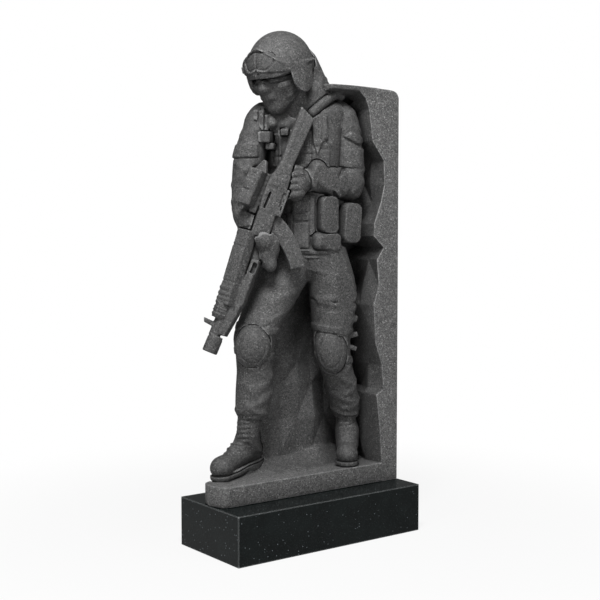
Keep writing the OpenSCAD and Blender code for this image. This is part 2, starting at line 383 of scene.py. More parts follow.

# %% [markdown]
# ## The sawn block and its hewn niche
#
# The mason squared the block with a saw, so its front, right side and back are flat, and
# then broke out the niche with a point, which leaves big flat scars that meet at sharp
# folds. A scar is a flat triangle here too: the niche's side, its back and its floor are
# sheets folded along a coarse net, with the net's heights listed and roughened
# by a seeded random number.

# %% Folded sheets
def folded(u, v, us, vs, heights):
    """Height on a sheet of flat triangles between the net's lines."""
    us, vs, heights = np.array(us, float), np.array(vs, float), np.array(heights, float)
    u, v = np.broadcast_arrays(u, v)
    i = np.clip(np.searchsorted(us, u, side="right") - 1, 0, len(us) - 2)
    j = np.clip(np.searchsorted(vs, v, side="right") - 1, 0, len(vs) - 2)
    p = np.clip((u - us[i]) / (us[i + 1] - us[i]), 0, 1)
    q = np.clip((v - vs[j]) / (vs[j + 1] - vs[j]), 0, 1)
    a, b, c, d = heights[i, j], heights[i + 1, j], heights[i, j + 1], heights[i + 1, j + 1]
    one = np.where(p + q < 1, a + (b - a) * p + (c - a) * q, d + (c - d) * (1 - p) + (b - d) * (1 - q))
    other = np.where(p < q, a + (d - c) * p + (c - a) * q, a + (b - a) * p + (d - b) * q)
    return np.where((i + j) % 2 == 0, one, other).astype(np.float32)


def roughened(heights, size, seed):
    rough = np.random.default_rng(seed).uniform(-size, size, np.shape(heights))
    return np.array(heights, float) + rough


stone = Clay(block_low - 4 * GRID, block_high + 4 * GRID)
grid_x, grid_y, grid_z = (GRID * (f + np.arange(n)) for f, n in zip(stone.first, stone.count))
X = grid_x.reshape(-1, 1, 1).astype(np.float32)
Y = grid_y.reshape(1, -1, 1).astype(np.float32)
Z = grid_z.reshape(1, 1, -1).astype(np.float32) - np.float32(PLATE_TOP)
print("clay grid", stone.count, "points")


# %% Base plate with its round tongue
def hull(points):
    """The outline stretched round a set of points, anticlockwise."""
    points = sorted(points)
    sides = []
    for run in (points, points[::-1]):
        side = []
        for p in run:
            while len(side) > 1 and np.cross(np.subtract(side[-1], side[-2]),
                                             np.subtract(p, side[-1])) <= 0:
                side.pop()
            side.append(p)
        sides += side[:-1]
    return sides


TONGUE = ((-313, -33, 25), (-318, 28, 22), (-286, 1, 60))
TONGUE_START = -100
plate_points = [(x, y) for x in (BLOCK_RIGHT, TONGUE_START) for y in (BLOCK_FRONT, BLOCK_BACK)]
for cx, cy, radius in TONGUE:
    plate_points += [(cx + radius * math.cos(a), max(cy + radius * math.sin(a), BLOCK_FRONT))
                     for a in np.linspace(0, math.tau, 49)]
plate_gap = outline_gap(hull(plate_points), X, Y)
ARRIS = 2.0
stone.field[:] = rounded(plate_gap + ARRIS, np.abs(Z + PLATE / 2) - PLATE / 2 + ARRIS, ARRIS)
print("plate", len(hull(plate_points)), "outline points")

# %% Niche floor, rising to the wall over rubble
FLOOR_X = (-346, -215, -110, -60, 0, 60, 120, 180, 250, 344)
FLOOR_Y = (-58, -22, 34, 72, 112, 158)
FLOOR = [
    [-9, -9, -9, -9, -9, -9],
    [-9, -9, -9, -9, -9, -9],
    [-9, -9, -4, 8, 16, 24],
    [-9, -3, 8, 22, 42, 50],
    [-9, -3, 12, 22, 38, 60],
    [-9, -3, 8, 26, 46, 66],
    [-9, -4, 6, 40, 74, 110],
    [-9, -9, -6, 20, 62, 90],
    [-9, -9, -6, 2, 26, 60],
    [-9, -9, -9, 2, 16, 40],
]
floor_height = folded(X, Y, FLOOR_X, FLOOR_Y, roughened(FLOOR, 2.5, 5))
floor_gap = np.maximum(Z - floor_height, plate_gap + ARRIS)
stone.field[:] = np.minimum(stone.field, floor_gap)
print("floor rises to", round(float(floor_height.max())), "mm")

# %% Pillar with an arched top and the niche's side
NICHE_EDGE = (
    (-20, 280), (120, 268), (225, 254), (240, 284), (320, 276), (390, 250), (515, 241), (575, 262),
    (660, 254), (698, 282), (735, 240), (775, 242), (845, 270), (900, 284), (975, 281), (1035, 234),
    (1100, 224), (1135, 219), (1165, 206), (1192, 178),
)
NICHE_LEAN = (0, 6, 12, 26, -16, 24, -20, 30, -14, 34, -10, 30, -34, 26, -50, 44, 36, -16, 34, -30)
levels = [level for level, edge in NICHE_EDGE]
front_edge = np.array([edge for level, edge in NICHE_EDGE], float)
lean = np.array(NICHE_LEAN, float)
side_depths = (BLOCK_FRONT, BLOCK_FRONT + 60, BLOCK_FRONT + 120, BLOCK_BACK)
side_rows = [front_edge, front_edge - 0.2 * lean, front_edge + 0.3 * lean, front_edge + lean]
side = np.vstack([side_rows[0], roughened(side_rows[1:], 14, 11)])
niche_side = folded(Y, Z, side_depths, levels, side)

PILLAR_H = PILLAR_TOP - PLATE_TOP
top_line = PILLAR_H - 7 * ((X - 150) / 190) ** 2
round_x = X - (BLOCK_RIGHT - PILLAR_CORNER)
round_z = Z - (PILLAR_H - 6 - PILLAR_CORNER)
outer = np.where(
    (round_x > 0) & (round_z > 0),
    np.sqrt(round_x ** 2 + round_z ** 2) - PILLAR_CORNER,
    np.maximum(X - BLOCK_RIGHT, Z - top_line),
)
niche_top = PILLAR_H - 14 - np.clip((Y - BLOCK_FRONT) * 0.27, 0, 46)
cap_left = 70 - 0.45 * (Y - BLOCK_FRONT)
cap = np.maximum(niche_top - Z, cap_left - X)
pillar = np.maximum(np.minimum(niche_side - X, cap) * 0.94, np.maximum(outer, -Z - PLATE))
stone.field[:] = np.minimum(stone.field, pillar)
print("pillar from x", round(float(niche_side.min())), "to", round(float(BLOCK_RIGHT)), "mm")

# %% Back wall of the niche
WALL_X = (-130, -70, -10, 50, 110, 170, 235, 300)
WALL_Z = (-10, 60, 150, 262, 330, 430, 520, 600, 700, 790, 880, 985, 1060, 1120, 1210)
WALL_EDGE = ((-10, -95), (60, -104), (180, -112), (420, -84), (640, -70), (860, -58), (1060, -44),
             (1210, -30))
depth = [[20 + 10 * math.sin(1.7 * i + 0.9 * j) + (14 if (i + j) % 3 == 0 else 0)
          for j in range(len(WALL_Z))] for i in range(len(WALL_X))]
wall_face = BLOCK_BACK - WALL - folded(X, Z, WALL_X, WALL_Z, roughened(depth, 8, 23))
edge_levels, edge_line = zip(*WALL_EDGE)
wall_left = np.interp(Z, edge_levels, edge_line) + folded(Y, Z, (-58, 110, 158), WALL_Z,
                                                          roughened(np.zeros((3, len(WALL_Z))), 7, 31))
wall = np.maximum((wall_face - Y) * 0.94, np.maximum(wall_left - X, np.maximum(Z - top_line, X - 320)))
stone.field[:] = np.minimum(stone.field, wall)
# Distance to the nearest hewn surface, kept for the stone's tone and the painted shade of the niche
hewn_gap = np.minimum(np.abs(X - niche_side), np.abs(Y - wall_face))
hewn_gap = np.minimum(hewn_gap, np.abs(Z - floor_height))
del floor_gap, pillar, wall, cap, plate_gap, outer
print("wall", WALL, "mm thick at least")

# %% [markdown]
# ## The soldier's trousers and legs
#
# The soldier steps forward on the right leg. Each trouser leg is a column of rings, bloused over
# the boot, and the cloth's folds are creases laid round it: a fold has a height, the way it
# faces, how far it runs round and how much it slopes.

# %% Legs
figure = Place(STAND, (0, 0, -TURN))
FRONT = -90
legs = lump(figure, (-235, -185, 120), (235, 185, 735))
leg_right = Column((
    (172, -149, -90, 40, 42), (184, -149, -90, 50, 53), (215, -148, -89, 53, 56), (260, -144, -86, 56, 58),
    (320, -141, -84, 55, 58), (370, -141, -86, 58, 62), (425, -141, -86, 64, 67), (470, -124, -66, 70, 71),
    (515, -102, -45, 76, 75), (580, -68, -14, 82, 79), (640, -46, 6, 88, 82), (700, -30, 10, 86, 80),
))
leg_left = Column((
    (142, 150, 108, 34, 38), (153, 149, 106, 43, 46), (180, 146, 98, 49, 52), (215, 140, 84, 50, 53),
    (280, 126, 60, 52, 56), (340, 108, 40, 54, 58), (404, 102, 32, 58, 62), (460, 104, 30, 66, 68),
    (532, 105, 28, 74, 75), (600, 98, 28, 76, 79), (650, 84, 30, 76, 80), (700, 70, 28, 74, 78),
))
legs.add(leg_right)
legs.add(leg_left, 16)
legs.add(Column(((630, 20, 18, 90, 70), (660, 18, 18, 112, 80), (735, 14, 16, 112, 80))), 20)

FOLDS_RIGHT = (
    # height, facing, spread, tilt, bow, ridge height, width
    (600, -60, 46, 26, -8, 4, 12), (568, -52, 42, 34, -6, 4, 13), (535, -88, 34, -18, 8, 2, 12),
    (500, -34, 30, 26, 0, 3, 10), (322, -66, 44, -16, -8, 4, 10), (290, -50, 34, 20, -8, 5, 11),
    (262, -84, 30, -22, -9, 4, 9), (244, -40, 30, 18, -8, 6, 9), (216, -112, 50, 14, -8, 6, 8),
    (204, -66, 40, -14, -6, 6, 8), (192, -90, 70, 6, -6, -4, 4), (232, -74, 18, 26, 0, -3, 5),
    (560, 60, 60, 12, 6, 4, 10), (420, 90, 70, 8, 8, 5, 9), (330, 80, 60, -10, 6, 4, 9),
    (470, -84, 40, 30, -6, 5, 6), (462, -84, 40, 30, -6, -4, 5), (610, -110, 26, -22, 0, 3, 10),
)
FOLDS_LEFT = (
    (534, -80, 84, -7, -4, -6, 4), (546, -64, 70, 6, -6, 6, 8), (520, -60, 66, -12, -5, 5, 9),
    (618, -100, 30, -22, 0, 3, 12), (586, -96, 34, -30, 4, 3, 12), (470, -20, 34, 14, 0, 5, 8),
    (452, -96, 60, -6, 6, 4, 6), (322, -30, 34, 20, 4, 4, 10), (290, -84, 36, -24, -6, 4, 10),
    (252, -46, 34, 22, -6, 5, 9), (222, -100, 40, -20, -6, 5, 9), (196, -56, 44, 14, -8, 5, 8),
    (168, -95, 60, -9, -8, 6, 7), (159, -60, 60, 8, -6, -4, 4), (560, 60, 60, -12, 6, 4, 10),
    (404, 80, 60, 10, 6, 5, 9), (240, -70, 16, -30, 0, -3, 5),
)
for column, folds in ((leg_right, FOLDS_RIGHT), (leg_left, FOLDS_LEFT)):
    for z, facing, spread, tilt, bow, height, width in folds:
        legs.crease(column.fold(z, facing, spread, tilt, bow), height, width)
legs.crease(stroke([(22, 700), (24, 650), (22, 606)], -150, 0), -4, 5)
legs.crease(stroke([(-74, 690), (-92, 640), (-88, 610)], -150, 40), -3, 4)
legs.crease(stroke([(118, 690), (140, 640), (132, 612)], -150, 60), -3, 4)
print("legs with", len(FOLDS_RIGHT) + len(FOLDS_LEFT), "folds")


# %% Knee pads
def knee_pad(hand, column, knee, half_w, half_h, depth, lean):
    """A stitched cloth carrier with a domed cap, held by two straps."""
    dome = lump(figure, (knee[0] - 80, depth[0], knee[1] - 90), (knee[0] + 80, depth[1], knee[1] + 90))
    x, z = knee
    ring = [math.tau * k / 24 for k in range(24)]
    carrier = [(x + half_w * 1.1 * math.cos(a), z + 14 + half_h * 1.28 * math.sin(a)) for a in ring]
    hand.press(patch(carrier, *depth), 4, 3)
    front = float(column.ring(z)[1] - column.ring(z)[3])
    dome.add(egg((x, front + 18, z - 3), (half_w, 40, half_h), (0, lean, 0)))
    dome.crease(stroke([(x + half_w * 0.74 * math.cos(t), z - 3 + half_h * 0.74 * math.sin(t))
                        for t in ring[13:] + ring[:12]], *depth), -2.5, 3)
    for level in (z + half_h * 0.72, z - half_h * 0.42):
        mx, my, a, b = (float(v) for v in column.ring(level))
        strap = block((mx, my, level), (2 * a + 60, 2 * b + 60, 20), (0, 8, 0))
        hand.press(strap, 4, 3)
    hand.clay.join(dome.clay, 1, 3, 5)


knee_pad(legs, leg_right, (-145, 404), 55, 67, (-220, -80), 4)
knee_pad(legs, leg_left, (97, 384), 50, 80, (-120, 30), -9)
legs.add(block((162, 30, 420), (40, 26, 16), (0, -10, 20)), 3)
legs.add(block((158, 24, 384), (44, 22, 14), (0, 24, 20)), 3)
legs.add(block((172, 22, 474), (18, 22, 22), (0, 20, 20), 6), 6)
stone.join(legs.clay)
print("knee pads on")

# %% [markdown]
# ## Boots
#
# A boot is a last-shaped foot, a laced shaft and a sole with a welt. Its place points along
# the foot, so x runs from heel to toe and the same function makes both boots.

# %% Boots
def boot(heel, toe, shaft_top, shaft, lift):
    """One boot, from the middle of its heel to the middle of its toe cap, in the figure's axes."""
    run = np.subtract(toe, heel)
    length = math.hypot(*run)
    place = Place((*heel, 0), (0, 0, math.degrees(math.atan2(run[1], run[0]))), figure)
    pitch = math.degrees(math.atan2(lift, length))
    place = Place((0, 0, lift), (0, pitch, 0), place)
    hand = lump(place, (-60, -60, -12), (length + 70, 60, 230))
    ball_x, toe_x = length * 0.72, length
    hand.add(chain([(-2, 0, 46), (length * 0.3, 0, 52), (ball_x, 0, 42), (toe_x - 6, 0, 40)],
                   [32, 33, 31, 30]), 10)
    hand.add(egg((toe_x - 8, 0, 34), (38, 34, 31)), 12)
    hand.add(chain([(4, 0, 60), (14, 0, 96)], [33, 34]), 14)
    hand.add(chain([(18, 0, 96), (length * 0.46, 0, 62)], [30, 26]), 22)
    hand.cut(block((length / 2, 0, -14), (length * 2, 160, 46)))
    half = [(-36, 14), (-30, 27), (0, 33), (length * 0.35, 29), (ball_x, 37), (toe_x + 10, 33),
            (toe_x + 26, 18)]
    outline = [(x, -y) for x, y in half] + [(toe_x + 32, 0)] + half[::-1]
    hand.add(slab(outline, 15, (0, 0, 8), (-90, 0, 0), 3))
    hand.crease(slab(outline, 1, (0, 0, 17), (-90, 0, 0), 0), -2.5, 2.5)
    hand.add(slab([(x * 0.97 - 0.5, y * 0.95) for x, y in outline], 5, (0, 0, 20), (-90, 0, 0), 2), 2)
    hand.add(slab([(x, y) for x, y in outline if x < length * 0.36], 16, (0, 0, 0), (-90, 0, 0), 2))
    hand.crease(chain([(toe_x - 28, -40, 40), (toe_x - 34, -20, 66), (toe_x - 36, 0, 73),
                       (toe_x - 34, 20, 66),
                       (toe_x - 28, 40, 40)], 0), -2, 3)
    for side in (-1, 1):
        hand.crease(chain([(-30, side * 24, 30), (-10, side * 34, 62), (8, side * 34, 96)], 0), -2, 3)
    shaft_hand = Hand(hand.clay, figure)
    shaft_hand.add(shaft, 16)
    facing = math.degrees(math.atan2(run[1], run[0]))
    for z in range(shaft_top - 92, shaft_top - 20, 15):
        shaft_hand.crease(shaft.fold(z, facing, 36, 3), 6, 4)
    for k in range(3):
        across = length * (0.50 + 0.09 * k)
        instep = 94 - 12 * k
        hand.crease(chain([(across, -20, instep - 4), (across + 4, 0, instep), (across, 20, instep - 4)],
                          0), 6, 4)
    for side in (-1, 1):
        upper = [shaft.fold(z, facing + 36 * side, 0) for z in (shaft_top - 96, shaft_top - 20)]
        shaft_hand.crease(chain([tuple(line.low) for line in upper], 0), 2.5, 3)
    shaft_hand.crease(shaft.fold(shaft_top - 12, FRONT, 175), 3, 4)
    shaft_hand.crease(shaft.fold(shaft_top - 24, FRONT, 175), -2, 3)
    stone.join(hand.clay, 1, 3, 5)


SHAFT_RIGHT = Column(((66, -156, -62, 33, 36), (88, -163, -78, 35, 38), (112, -163, -86, 35, 38),
                      (150, -159, -90, 36, 38), (198, -155, -90, 38, 40)))
SHAFT_LEFT = Column(((56, 153, 110, 31, 34), (90, 152, 104, 31, 35), (120, 150, 106, 32, 35),
                     (164, 149, 108, 34, 37)))
boot((-152, -34), (-240, -186), 196, SHAFT_RIGHT, 12)
boot((156, 122), (150, 24), 160, SHAFT_LEFT, 0)
wedge = lump(figure, (-210, -160, -10), (-110, 20, 24))
wedge.add(slab([(-30, -8), (126, -8), (120, 2), (-8, 14), (-28, 8)], 62, (-152, -34, 0), (0, 0, -121), 3))
stone.join(wedge.clay)
print("boots laced")

# %% [markdown]
# ## Body and vest
#
# The body is one column under a padded vest. The vest's panels, seams and straps are pressed
# and drawn on it from the front, the way a mason marks them out, and the pouches are eased
# blocks added after.

# %% Body
body = lump(figure, (-215, -140, 600), (225, 150, 1215))
trunk = Column((
    (668, 14, 16, 116, 84), (690, 14, 16, 116, 84), (760, 12, 20, 110, 80), (860, 8, 18, 113, 80),
    (960, 4, 14, 120, 82), (1030, 2, 8, 126, 77), (1080, 2, 4, 120, 70), (1120, -2, -2, 100, 60),
    (1150, -4, -10, 76, 56), (1180, -8, -14, 56, 48),
))
body.add(trunk)
body.add(chain([(-110, -38, 1078), (0, 0, 1096), (112, 44, 1096)], [50, 58, 50]), 24)
body.press(block((14, 14, 687), (330, 260, 14)), 4, 3)
body.crease(block((14, 14, 678), (330, 260, 1)), -3, 3)
for z, facing, spread, tilt, bow, height, width in (
    (716, -120, 40, 8, -6, 4, 8), (905, -60, 40, -14, 0, 4, 8), (880, -95, 34, 10, 0, 4, 9),
    (1010, -62, 24, 16, 0, 3, 8), (838, -84, 28, 8, 4, 3, 8), (760, 90, 80, 6, 6, 4, 9),
    (840, 70, 70, -8, 6, 4, 9), (930, 100, 80, 8, 6, 4, 9), (1010, 80, 60, -8, 8, 4, 9),
):
    body.crease(trunk.fold(z, facing, spread, tilt, bow), height, width)
print("body", trunk.low.round(), trunk.high.round())

# %% Vest panels, seams and straps
PANELS = (
    # left, bottom, right, top, height
    (-66, 930, 36, 1060, 5), (-92, 950, -58, 1050, 4), (38, 940, 92, 1000, 4), (-62, 985, -26, 1040, 3),
    (-26, 690, 30, 865, 4), (-22, 812, 27, 845, 3), (-22, 784, 27, 806, 4), (-22, 700, 27, 778, 5),
    (-42, 745, -25, 806, 6), (30, 740, 46, 862, 8), (-92, 700, -44, 800, 4),
)
for x0, z0, x1, z1, height in PANELS:
    body.press(band(x0, z0, x1, z1), height, 3)
strap = [(37, 1098), (58, 1112), (84, 1104), (87, 1036), (70, 1026), (54, 986), (40, 1024)]
body.press(patch(strap, -250, 40), 8, 4)
for x in (47, 58, 69):
    body.crease(stroke([(x, 1096), (x + 1, 1036)]), -3, 3)
SEAMS = (
    ([(-5, 989), (38, 988)], -3), ([(-80, 980), (-56, 980)], -3), ([(-60, 1040), (-58, 985)], -3),
    ([(64, 1034), (84, 1032)], -3), ([(-16, 1046), (-22, 940)], -3), ([(12, 1040), (8, 930)], -2),
    ([(-80, 1044), (-80, 960)], -3), ([(48, 1012), (66, 1006)], -3), ([(2, 770), (2, 704)], -2),
)
for line, height in SEAMS:
    body.crease(stroke(line), height, 3)
body.crease(stroke([(-92, 800), (-96, 700)], -250, 40), -4, 4)
for side in (-1, 1):
    body.crease(stroke([(side * 50, 1160), (side * 62, 1060), (side * 66, 930)], 0, 200), 6, 12)
for z in (1000, 950, 900, 850):
    body.crease(stroke([(-80, z), (84, z)], 0, 200), 3.5, 6)
print("vest with", len(PANELS), "panels and", len(SEAMS), "seams")

# %% Pouches, radio, buckle and neck roll
BLOCKS = (
    # middle, size, turn, easing
    ((87, -48, 802), (64, 54, 114), (0, 0, 24), 19),
    ((156, 10, 777), (68, 64, 126), (0, 4, 40), 22),
    ((80, -46, 720), (96, 56, 52), (0, 3, 22), 18),
    ((-132, -74, 1080), (15, 44, 84), (4, 2, -12), 3),
    ((-114, -78, 1078), (15, 52, 84), (4, 2, -12), 3),
    ((-99, -76, 1072), (10, 48, 70), (4, 2, -12), 2.5),
    ((-106, -80, 1040), (40, 54, 34), (4, 2, -12), 4),
    ((-90, -76, 1011), (26, 46, 20), (0, 0, -8), 4),
    ((-46, -74, 1056), (24, 40, 19), (8, 0, -6), 3),
    ((-12, -70, 1052), (20, 40, 12), (8, 0, 6), 2),
)
gear = lump(figure, (-170, -140, 640), (215, 60, 1170))
for at, size, turn, easing in BLOCKS:
    one = lump(figure, (at[0] - 70, at[1] - 70, at[2] - 80), (at[0] + 70, at[1] + 70, at[2] + 80))
    one.add(block(at, size, turn, easing))
    gear.clay.join(one.clay, 0, 3.5, 8)
gear.add(drum((-114, -88, 1126), 5, 12), 1)
front_pouch = gear.at((87, -54, 802), (0, 0, 24))
side_pouch = gear.at((156, 6, 777), (0, 4, 40))
front_pouch.crease(chain([(-22, -22, 8), (0, -23, 4), (24, -22, 10)], 0), -2.5, 3)
front_pouch.crease(chain([(-12, -22, 50), (-6, -24, 20), (10, -23, -30)], 0), 3, 7)
front_pouch.crease(chain([(14, -22, 46), (18, -23, 0), (2, -22, -44)], 0), 2.5, 7)
side_pouch.press(slab([(-30, 26), (6, 26), (4, -34), (-14, -44), (-30, -30)], 30, (0, -26, 0)), 5, 4)
side_pouch.crease(chain([(-24, -26, 34), (0, -28, 26), (22, -26, 36)], 0), -3, 3)
roll = gear.at((80, -52, 720), (0, 3, 22))
for x in (-26, 2, 28):
    roll.crease(chain([(x, -22, 22), (x + 6, -24, 0), (x - 2, -22, -22)], 0), 3, 6)
roll.crease(chain([(-42, -20, 14), (0, -24, 18), (40, -20, 14)], 0), -3, 3)
body.clay.join(gear.clay, 1, 4, 9)
body.add(chain([(66, -18, 1106), (100, 8, 1120), (120, 34, 1126)], [34, 36, 30]), 14)
collar = lump(figure, (0, -90, 1080), (160, 60, 1210))
collar.add(chain([(36, -60, 1116), (64, -46, 1142), (93, -22, 1166), (113, 2, 1178), (126, 22, 1174)], 15))
collar.crease(chain([(44, -76, 1112), (72, -62, 1136), (100, -38, 1158), (124, -10, 1166)], 0), -3, 3)
body.clay.join(collar.clay, 2, 3, 6)
body.add(chain([(-112, -20, 1136), (-92, -60, 1120), (-84, -84, 1080)], [17, 16, 14]), 10)
for roll_line, r in (
    ([(-92, -34, 1108), (-66, -56, 1084), (-38, -62, 1078), (-6, -46, 1096)], 15),
    ([(-84, -22, 1136), (-62, -46, 1116), (-30, -52, 1114), (4, -28, 1130)], 14),
):
    body.add(chain(roll_line, r), 7)
stone.join(body.clay)
print("gear with", len(BLOCKS), "blocks")

# %% [markdown]
# ## Arms and gloves
#
# Both sleeves are columns too. The left forearm crosses the body, so it is a chain of limbs with
# puffed cloth between its folds. The left glove's fingers are short chains closed round the
# rifle, and the right glove is a plain one behind it.

# %% Arms
SLEEVE_RIGHT = Column((
    (730, -136, -112, 40, 40), (764, -147, -92, 43, 44), (798, -157, -76, 46, 46), (830, -163, -68, 48, 48),
    (898, -162, -60, 49, 50), (940, -160, -56, 49, 50), (988, -155, -52, 50, 51), (1026, -145, -48, 49, 52),
    (1066, -131, -44, 47, 52), (1100, -126, -42, 45, 48), (1119, -120, -42, 40, 44),
    (1138, -114, -42, 30, 34),
    (1148, -110, -42, 16, 18),
))
right_arm = lump(figure, (-225, -190, 640), (-20, 30, 1170))
right_arm.add(SLEEVE_RIGHT)
right_arm.add(chain([(-160, -76, 800), (-130, -118, 752), (-108, -132, 724)], [44, 38, 34]), 14)
for z, facing, spread, tilt, bow, height, width in (
    (1062, -100, 50, 16, -6, 4, 9), (1034, -126, 34, -14, 0, 3, 9), (946, -104, 44, -18, -8, 5, 8),
    (920, -126, 36, 26, -6, 4, 10), (896, -82, 40, -24, 0, 4, 9), (872, -112, 44, 30, -6, 5, 11),
    (846, -96, 44, -16, -8, 4, 9), (812, -88, 44, 22, -8, 5, 10), (800, -128, 34, -20, -6, 3, 9),
    (774, -120, 40, 14, -4, 4, 9), (880, 60, 60, 12, 4, 5, 9),
    (980, 90, 60, -10, 4, 4, 9), (830, 80, 60, -12, 6, 5, 9), (1050, 110, 60, 8, 6, 4, 9),
):
    right_arm.crease(SLEEVE_RIGHT.fold(z, facing, spread, tilt, bow), height, width)
right_arm.press(band(-215, 976, -128, 1018, -180, -40), 4, 3)
right_arm.crease(stroke([(-215, 974), (-128, 976)], -180, -40), -3, 3)
right_arm.press(band(-172, 768, -136, 812, -220, -60), 4, 4)
stone.join(right_arm.clay, 0, 3.5, 6)

SLEEVE_LEFT = Column((
    (848, 143, 46, 24, 26), (858, 145, 46, 40, 42), (880, 148, 48, 49, 49), (920, 149, 50, 53, 51),
    (962, 147, 52, 54, 51), (1000, 142, 54, 55, 52), (1048, 137, 54, 57, 52), (1080, 132, 53, 58, 52),
    (1106, 127, 52, 57, 51), (1128, 122, 50, 52, 48), (1146, 117, 49, 43, 40), (1158, 114, 48, 30, 28),
    (1165, 113, 48, 14, 14),
))
left_arm = lump(figure, (-70, -140, 800), (225, 130, 1200))
left_arm.add(SLEEVE_LEFT)
for z, facing, spread, tilt, bow, height, width in (
    (1112, -80, 60, 16, -6, 3, 10), (1076, -40, 50, -16, 0, 3, 9), (1060, -110, 40, 12, 0, 3, 9),
    (938, -60, 60, 10, -6, 4, 9), (914, -40, 60, -14, -6, 5, 9), (890, -80, 60, 16, -8, 5, 9),
    (872, -50, 60, -10, -6, 5, 8), (960, 60, 60, 12, 6, 5, 9), (900, 80, 70, -12, 6, 5, 9),
    (1040, 90, 60, -10, 6, 4, 9), (1000, -20, 30, 14, 0, 3, 8),
):
    left_arm.crease(SLEEVE_LEFT.fold(z, facing, spread, tilt, bow), height, width)
left_arm.press(patch([(98, 1020), (150, 1008), (204, 1012), (204, 948), (150, 950), (104, 958)], -100, 60),
               4, 3)
left_arm.crease(stroke([(104, 954), (150, 948), (200, 952)], -100, 60), -2, 4)
left_arm.press(patch([(140, 1046), (184, 1026), (200, 1030), (202, 1046), (160, 1062)], -100, 60), 4, 3)
left_arm.crease(stroke([(138, 1043), (160, 1030), (186, 1020)], -100, 60), -4, 3)
left_arm.add(chain([(150, 42, 902), (96, -12, 903), (58, -48, 914), (34, -64, 912)], [50, 42, 43, 36]), 12)
left_arm.add(ball((108, -6, 898), 46), 8)
left_arm.add(egg((52, -58, 926), (33, 40, 46)), 4)
left_arm.add(egg((96, -22, 910), (32, 40, 44)), 4)
left_arm.add(drum((18, -76, 908), 37, 18, (0, 72, 48), 8), 4)
FOREARM_FOLDS = (
    [(122, -6, 944), (108, -48, 922), (112, -52, 890), (124, -36, 862)],
    [(80, -30, 950), (78, -66, 918), (86, -62, 884), (98, -42, 862)],
    [(44, -74, 956), (52, -98, 926), (46, -98, 892), (54, -76, 866)],
    [(138, -8, 930), (134, -22, 900), (146, -12, 872)], [(70, -64, 950), (62, -90, 930), (72, -88, 902)],
    [(160, -4, 926), (172, -6, 900), (166, -2, 876)], [(100, -44, 934), (92, -58, 910), (100, -52, 880)],
)
for line in FOREARM_FOLDS:
    left_arm.crease(chain(line, 0), 8, 9)
for line in FOREARM_FOLDS[:3]:
    left_arm.crease(chain([(x + 13, y + 8, z) for x, y, z in line], 0), -9, 6)
stone.join(left_arm.clay, 0, 3.5, 8)
print("sleeves on")


# %% Gloves
def finger(hand, points, r):
    hand.add(chain(points, r), 3)


left_glove = lump(figure, (-70, -160, 810), (60, 10, 960))
left_glove.add(egg((-8, -92, 892), (31, 38, 50), (0, 12, 20)))
left_glove.add(limb((12, -76, 906), (-4, -88, 902), 32, 34), 12)
for k in range(4):
    z = 924 - 20 * k
    finger(left_glove, [(4, -114, z + 2), (-16, -126, z), (-36, -120, z - 4), (-44, -102, z - 6)], 11)
finger(left_glove, [(2, -106, 940), (-18, -114, 944), (-36, -108, 938)], 11)
left_glove.crease(chain([(14, -108, 940), (18, -112, 905), (12, -106, 862)], 0), -4, 4)
stone.join(left_glove.clay, 0, 3, 5)

right_glove = lump(figure, (-165, -205, 610), (-40, -70, 790))
right_glove.add(egg((-98, -118, 696), (36, 32, 56), (0, 14, 0)))
right_glove.add(limb((-110, -118, 732), (-94, -122, 716), 34, 32), 12)
right_glove.add(egg((-90, -128, 652), (20, 20, 24)), 8)
stone.join(right_glove.clay, 3)
print("gloves closed round the grip and under the handguard")

# %% [markdown]
# ## Head, helmet and hood
#
# The head is bowed and turned to the soldier's right. The helmet is an egg cut off under its
# brim. A strap and a visor are pressed up from its own shell, so that they hug it, and the
# lenses are sunk into the visor. The upper edge of the goggles runs down into the strap. The
# face is a calm one with a cloth drawn up over the nose.

# %% Hood and neck
HEAD = (-56, -58, 1242)
BOW, LOOK = 20, 38
cowl = lump(figure, (-150, -170, 1080), (140, 120, 1360))
hood = Column((
    (1096, 4, -8, 60, 50), (1130, 10, -6, 76, 60), (1165, 12, 4, 88, 68), (1195, 14, 10, 88, 70),
    (1217, 8, 12, 80, 70), (1240, 2, 12, 74, 66), (1263, -6, 12, 72, 64), (1300, -18, 8, 66, 58),
    (1326, -30, 0, 50, 46),
))
cowl.add(hood)
cowl.cut(block((60, 0, 1090), (400, 400, 100), (0, -42, 0), 4), 4)
cowl.cut(block((-100, 0, 1060), (240, 400, 100), easing=4), 4)
cowl.cut(egg((-68, -96, 1196), (112, 98, 130), (-14, 0, -24)), 4)
cowl.add(limb((-10, -16, 1120), (-46, -36, 1200), 56, 58), 4)
for z, facing, spread, tilt, bow, height, width in (
    (1276, -50, 20, 20, 8, 2, 9), (1240, -54, 22, 30, 6, 3, 10), (1206, -50, 24, 30, 4, 3, 9),
    (1180, 60, 90, 6, 8, 5, 9), (1220, 90, 80, -8, 8, 5, 9), (1260, 110, 80, 8, 8, 4, 9),
):
    cowl.crease(hood.fold(z, facing, spread, tilt, bow), height, width)
stone.join(cowl.clay, 0, 2.5, 5)
print("hood over the collar")

